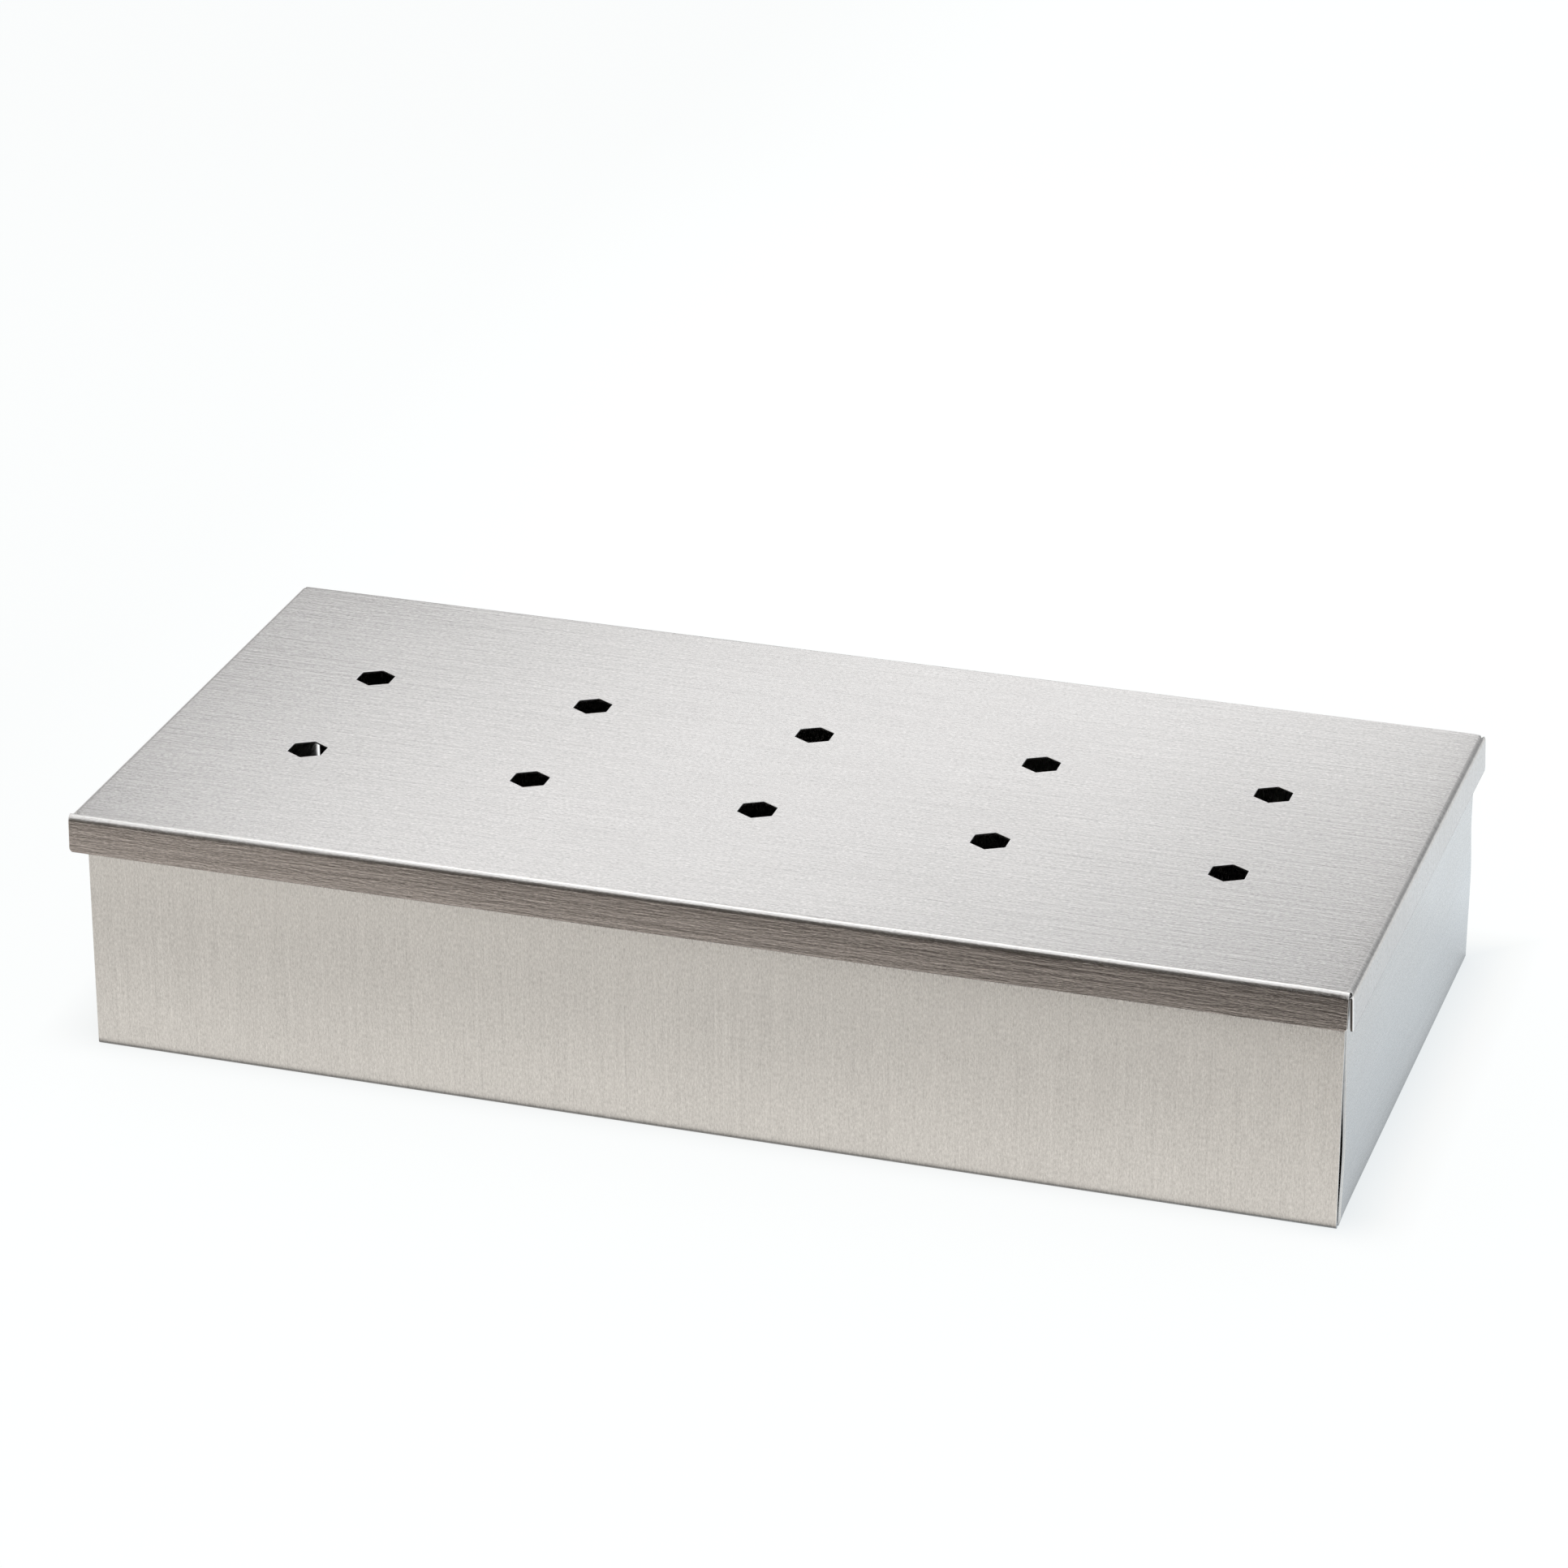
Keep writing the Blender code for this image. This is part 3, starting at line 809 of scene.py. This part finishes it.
class SMOKERBOX_OT_hinges(bpy.types.Operator):
    """Roll the hinges' leaves round their pins and press their spot welds"""
    bl_idname = "smoker_box.hinges"
    bl_label = "Hinge leaves"

    def execute(self, context):
        settings = context.scene.smoker_box
        hinges, steel, burr = settings.hinges, settings.steel, settings.sheet.burr
        bore = hinges.pin_radius + hinges.clearance
        middle_radius = bore + hinges.leaf_sheet / 2
        swing = bore + hinges.leaf_sheet + hinges.knuckle_gap
        knuckle = (hinges.width - 2 * hinges.knuckle_gap) / 3
        inner_y = AXIS.y - middle_radius
        lid_leaf_low, lid_leaf_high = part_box("left_hinge_lid_leaf")
        seat_y = lid_leaf_low.y + hinges.leaf_sheet / 2
        weld_height = 0.0042
        steels = (brushed_steel("leaf_steel_brushed", steel.leaf, 0.3, steel.tray_grain, "X", steel),
                  cut_steel("leaf_cut_edge", steel.cut, 0.5),
                  cut_steel("leaf_burr", steel.burr, 0.3),
                  cut_steel("weld_dimple", (0.46, 0.44, 0.41), 0.42))
        tree = weld_dimples_tree()

        def roll(turn, steps=44):
            return [(AXIS.y + middle_radius * math.cos(math.pi + turn * hinges.wrap * step / steps),
                     AXIS.z + middle_radius * math.sin(math.pi + turn * hinges.wrap * step / steps))
                    for step in range(steps + 1)]

        def finish(leaf, *weld_place):
            for item in steels:
                leaf.data.materials.append(item)
            give_thickness(leaf, hinges.leaf_sheet, 0)
            add_tree(leaf, tree, {"Width": hinges.weld_width, "Depth": hinges.weld_depth,
                                  "Spacing": hinges.weld_spacing, "Count": 3, "Middle": weld_place,
                                  "Weld steel": steels[3]})
            round_cut_edges(leaf, burr)
            bake(leaf)

        for side, middle_x in HINGE_MIDDLES.items():
            low_z = AXIS.z - hinges.tray_leaf
            path = [(inner_y, z) for z in evenly(low_z, AXIS.z - swing, LEAF_ROW)]
            notch_row = len(path) - 1
            notch = knuckle / 2 + hinges.knuckle_gap
            leaf = rolled_leaf(side + "_tray_leaf_rolled", path + roll(-1), hinges, middle_x, notch,
                               lambda row, distance: row < notch_row or distance > notch)
            finish(leaf, middle_x, inner_y + hinges.leaf_sheet / 2, low_z + weld_height)
            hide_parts(side + "_hinge_tray_leaf")
            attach(leaf, "tray_body")

            path = [(seat_y, z) for z in evenly(lid_leaf_high.z, LID_LOW.z, LEAF_ROW)]
            for part in (0.25, 0.5, 0.75, 1.0):
                eased = part * part * (3 - 2 * part)
                path.append((seat_y + (inner_y - seat_y) * eased, LID_LOW.z - hinges.joggle * part))
            if path[-1][1] > AXIS.z + swing + 1e-5:
                path.append((inner_y, AXIS.z + swing))
            narrow_row = len(path) - 1
            leaf = rolled_leaf(side + "_lid_leaf_rolled", path + roll(1), hinges, middle_x,
                               knuckle / 2,
                               lambda row, distance: row < narrow_row or distance < knuckle / 2)
            finish(leaf, middle_x, seat_y + hinges.leaf_sheet / 2, (lid_leaf_high.z + LID_LOW.z) / 2)
            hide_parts(side + "_hinge_lid_leaf")
            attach(leaf, "lid_body")
        return {"FINISHED"}


class SMOKERBOX_OT_pins(bpy.types.Operator):
    """Turn the headed hinge pins"""
    bl_idname = "smoker_box.pins"
    bl_label = "Hinge pins"

    def execute(self, context):
        settings = context.scene.smoker_box
        hinges = settings.hinges
        head_play, dome_steps = 0.0003, 6
        steel = wire_steel("pin_steel_drawn", settings.steel.pin)
        for side, middle_x in HINGE_MIDDLES.items():
            low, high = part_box(side + "_hinge_pin")
            tip, head, shank = (high.x - low.x) / 2, (high.z - low.z) / 2, hinges.pin_radius
            half = hinges.width / 2 + head_play
            rise, crown = tip - half, shank * 0.7
            dome = [(0.0, tip)]
            for step in range(1, dome_steps + 1):
                angle = math.pi / 2 * step / dome_steps
                dome.append((crown + (head - crown) * math.sin(angle),
                             half + rise * 0.35 + rise * 0.65 * math.cos(angle)))
            dome += [(head, half + rise * 0.12), (head - rise * 0.12, half), (shank, half)]
            profile = dome + [(shank, x) for x in evenly(half - 0.001, -half + 0.001, 0.002)]
            profile += [(radius, -x) for radius, x in reversed(dome)]
            bm = bmesh.new()
            verts = [bm.verts.new((x, radius, 0)) for radius, x in profile]
            edges = [bm.edges.new(pair) for pair in zip(verts, verts[1:])]
            bmesh.ops.spin(bm, geom=verts + edges, cent=(0, 0, 0), axis=(1, 0, 0), angle=2 * math.pi,
                           steps=48, use_merge=True)
            bmesh.ops.remove_doubles(bm, verts=bm.verts, dist=1e-6)
            bmesh.ops.recalc_face_normals(bm, faces=bm.faces)
            bmesh.ops.translate(bm, verts=bm.verts, vec=(middle_x, AXIS.y, AXIS.z))
            pin = new_object(side + "_pin_turned", bm)
            pin.data.materials.append(steel)
            pin.data.set_sharp_from_angle(angle=math.radians(50))
            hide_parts(side + "_hinge_pin")
            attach(pin, "tray_body")
        return {"FINISHED"}


class SMOKERBOX_OT_stage(bpy.types.Operator):
    """Set up the pale floor, the soft light and the camera"""
    bl_idname = "smoker_box.stage"
    bl_label = "Stage"

    def execute(self, context):
        stage = context.scene.smoker_box.stage
        self.floor(stage)
        self.sky(context.scene, stage)
        self.lamps(stage)
        self.camera(context.scene)
        return {"FINISHED"}

    def floor(self, stage):
        """A floor that the camera sees as paper and that the box mirrors as the photo's floor."""
        bm = bmesh.new()
        bmesh.ops.create_grid(bm, x_segments=2, y_segments=2, size=stage.floor / 2)
        bmesh.ops.translate(bm, verts=bm.verts, vec=(0, 0, -0.00005))
        floor = new_object("floor", bm)
        material = bpy.data.materials.new("pale_floor")
        nodes = empty_nodes(material)
        place = nodes.axes(nodes.add("ShaderNodeNewGeometry").outputs["Position"])
        past = []
        for axis in (0, 1):
            low, high = TRAY_LOW[axis], TRAY_HIGH[axis]
            from_middle = nodes.math("ABSOLUTE", nodes.minus(place[axis], (low + high) / 2))
            past.append(nodes.minus(from_middle, (high - low) / 2))
        where = (place["X"], place["Y"], nodes.math("MAXIMUM", *past))
        paper = nodes.add("ShaderNodeEmission", None, *self.paper(nodes, *where))
        faint = nodes.add("ShaderNodeBsdfDiffuse", Color=(0.1, 0.1, 0.1, 1.0))
        seen = nodes.add("ShaderNodeAddShader", None, paper, faint)
        plain = nodes.add("ShaderNodeBsdfDiffuse", Color=(0.8, 0.8, 0.8, 1.0))
        glossy = nodes.add("ShaderNodeEmission", None, *self.mirrored_floor(nodes, *where, stage))
        ray = nodes.add("ShaderNodeLightPath").outputs
        other = nodes.mix_shaders(ray["Is Glossy Ray"], plain, glossy)
        final = nodes.mix_shaders(ray["Is Camera Ray"], other, seen)
        nodes.give(nodes.add("ShaderNodeOutputMaterial"), "Surface", final)
        floor.data.materials.append(material)

    def paper(self, nodes, x, y, away):
        """Tint and level of the seen floor, with a soft bluish shadow to the right of the tray.

        away is the distance from the tray's outline.
        """
        past_front = nodes.ramp(y, -0.058, -0.044, smooth=True)
        # Painted shadow: the seen floor darkens and turns bluish beside the tray's right side, and
        # darkens faintly towards the left
        painted_shadow = nodes.times(nodes.ramp(away, 0.0, 0.012, 0.1, 0.0), past_front)
        shadow_tint = nodes.times(nodes.ramp(away, 0.0002, 0.007, 1.0, 0.0), nodes.ramp(x, 0.09, 0.103),
                           past_front)
        return (nodes.mix(shadow_tint, (0.985, 1.0, 1.0), (0.93, 0.967, 0.985)),
                nodes.minus(nodes.ramp(x, -0.17, -0.1, 0.90, 0.93), painted_shadow))

    def mirrored_floor(self, nodes, x, y, away, stage):
        """Tint and level of the mirrored floor: lit near the box, dark past a slanted line."""
        is_front = nodes.ramp(y, -0.052, -0.05, 1.0, 0.0)
        sheen = nodes.math("ADD", nodes.ramp(y, -0.092, -0.06, 0.98, 1.12),
                           nodes.ramp(y, -0.12, -0.105, 0.26, 0.0))
        # Painted contact shadow: the mirrored floor darkens within a few millimetres of the tray
        front = nodes.times(sheen, nodes.ramp(away, 0.0003, 0.0021, 0.08, 1.0))
        behind = nodes.times(nodes.ramp(y, -0.04, 0.12, 1.06, 1.2),
                             nodes.ramp(away, 0.0, 0.024, 0.78, 1.0),
                             nodes.ramp(away, 0.0, 0.002, 0.7, 1.0))
        slanted = nodes.math("MULTIPLY_ADD", x, -0.07, y)
        far = nodes.ramp(x, -0.1, 0.1, stage.floor_far * 1.4, stage.floor_far * 0.3)
        lit = nodes.blend(far, 1.0, nodes.ramp(slanted, -0.133, -0.125, smooth=True))
        tint = nodes.mix(nodes.ramp(x, 0.05, 0.11), (1.0, 1.0, 1.0), (0.92, 1.0, 1.06))
        tint = nodes.mix(nodes.ramp(x, 0.118, 0.134), tint, (0.91, 0.915, 0.905))
        warm = nodes.mix(lit, (1.12, 1.0, 0.86), (1.03, 1.0, 0.945))
        return (nodes.mix(is_front, tint, warm),
                nodes.times(nodes.blend(behind, front, is_front), lit, stage.floor_near))

    def sky(self, scene, stage):
        """A white backdrop to the camera, and a studio with cards and a darker wall to the rest."""
        scene.world = bpy.data.worlds.new("studio")
        nodes = empty_nodes(scene.world)
        direction = nodes.axes(nodes.add("ShaderNodeTexCoord").outputs["Generated"])
        x, y, z = direction["X"], direction["Y"], direction["Z"]

        def band(value, low, high, soft):
            """One between low and high, zero past a soft edge outside them."""
            return nodes.times(nodes.ramp(value, low - soft, low, smooth=True),
                               nodes.ramp(value, high, high + soft, 1.0, 0.0, smooth=True))

        across = nodes.math("DIVIDE", x, nodes.math("MAXIMUM", nodes.math("ABSOLUTE", y), 0.05))
        tilt = nodes.math("MULTIPLY_ADD", z, 0.8, nodes.times(y, 0.6))
        card = nodes.times(band(across, -0.5, -0.14, 0.05), nodes.ramp(y, -0.1, -0.2),
                           nodes.ramp(tilt, 0.0, 0.35, 1.0, 0.0, smooth=True))
        dark = nodes.ramp(x, -0.4, -0.15, stage.front * 1.5, stage.front * 0.5)
        wall = nodes.times(band(across, -0.62, -0.12, 0.08), nodes.ramp(y, 0.1, 0.3))
        beside = nodes.times(band(across, 0.15, 0.7, 0.15), band(z, -0.02, 0.35, 0.1),
                             nodes.ramp(y, 0.1, 0.3, 0.0, 0.5))
        room = nodes.math("MULTIPLY_ADD", wall, stage.back - stage.room, stage.room)
        level = nodes.times(nodes.blend(room, dark, card), nodes.minus(1.0, beside))
        tint = nodes.mix(nodes.ramp(x, -0.6, 0.8), (1.0, 0.99, 0.98), (0.97, 0.99, 1.0))
        tint = nodes.mix(card, tint, (1.1, 1.0, 0.88))
        studio = nodes.add("ShaderNodeBackground", None, tint, level)
        white = nodes.add("ShaderNodeBackground", Color=(1.0, 1.0, 1.0, 1.0), Strength=1.0)
        ray = nodes.add("ShaderNodeLightPath").outputs
        final = nodes.mix_shaders(ray["Is Camera Ray"], studio, white)
        nodes.give(nodes.add("ShaderNodeOutputWorld"), "Surface", final)

    def lamps(self, stage):
        self.soft_box("overhead_soft_light", (1.1, 0.6), stage.top_power, Vector((0.04, 0.25, 1.0)),
                      Vector((0.0, 0.0, 0.0)), tint=(1.0, 0.98, 0.95))
        # The strip stands about where the lid's middle mirrors it into the camera
        towards = Vector((-0.276, 0.866, 0.417)).normalized()
        across = Vector((0.953, 0.303, 0.0)).normalized()
        above = across.cross(towards)
        middle = Vector((0.0, 0.0, LID_HIGH.z))
        place = middle + towards * 0.4 + across * 0.017 + above * 0.002
        self.soft_box("strip_soft_light", (0.39, 0.15), stage.back_power, place, middle, -0.44)

    def soft_box(self, name, size, power, place, target, roll=0.0, tint=(1.0, 1.0, 1.0)):
        light = bpy.data.lights.new(name, "AREA")
        light.shape = "RECTANGLE"
        light.size, light.size_y = size
        light.energy = power
        light.color = tint
        lamp = bpy.data.objects.new(name, light)
        lamp.location = place
        turn = (target - place).to_track_quat("-Z", "Y") @ Quaternion((0, 0, 1), -roll)
        lamp.rotation_euler = turn.to_euler()
        lamp.visible_camera = False
        bpy.context.scene.collection.objects.link(lamp)

    def camera(self, scene):
        """The camera that a fit of the photo's straight edges and hole centres gives."""
        camera = bpy.data.cameras.new("camera")
        camera.sensor_width = 36.0
        camera.lens = 132.52
        camera.clip_start = 0.05
        camera.clip_end = 10.0
        holder = bpy.data.objects.new("camera", camera)
        place = (0.25877, -0.81601, 0.43136)
        right = Vector((0.95285, 0.30348, 0.0))
        up = Vector((-0.12653, 0.39728, 0.90893))
        forward = Vector((-0.27584, 0.86607, -0.41694))
        turn = Matrix((right, up, -forward)).transposed().to_4x4()
        holder.matrix_world = Matrix.Translation(place) @ turn
        scene.collection.objects.link(holder)
        scene.camera = holder
        scene.view_settings.view_transform = "Standard"


class SMOKERBOX_PT_sidebar(bpy.types.Panel):
    """Sizes, colours and steps of the smoker box"""
    bl_idname = "SMOKERBOX_PT_sidebar"
    bl_label = "Smoker box"
    bl_space_type = "VIEW_3D"
    bl_region_type = "UI"
    bl_category = "Smoker box"

    def draw(self, context):
        settings = context.scene.smoker_box
        for group in (settings.sheet, settings.holes, settings.hinges, settings.steel, settings.stage):
            box = self.layout.box()
            for name in group.__annotations__:
                box.prop(group, name)
        for operator in STEPS:
            self.layout.operator(operator.bl_idname)


STEPS = (SMOKERBOX_OT_tray, SMOKERBOX_OT_lid, SMOKERBOX_OT_hinges, SMOKERBOX_OT_pins,
         SMOKERBOX_OT_stage)
CLASSES = (SmokerBoxSheet, SmokerBoxHoles, SmokerBoxHinges, SmokerBoxSteel, SmokerBoxStage,
           SmokerBoxSettings, *STEPS, SMOKERBOX_PT_sidebar)


def register():
    for item in CLASSES:
        bpy.utils.register_class(item)
    bpy.types.Scene.smoker_box = PointerProperty(type=SmokerBoxSettings)


def unregister():
    del bpy.types.Scene.smoker_box
    for item in reversed(CLASSES):
        bpy.utils.unregister_class(item)


def main():
    register()
    bpy.ops.smoker_box.tray()
    bpy.ops.smoker_box.lid()
    bpy.ops.smoker_box.hinges()
    bpy.ops.smoker_box.pins()
    bpy.ops.smoker_box.stage()


if __name__ == "__main__":
    main()
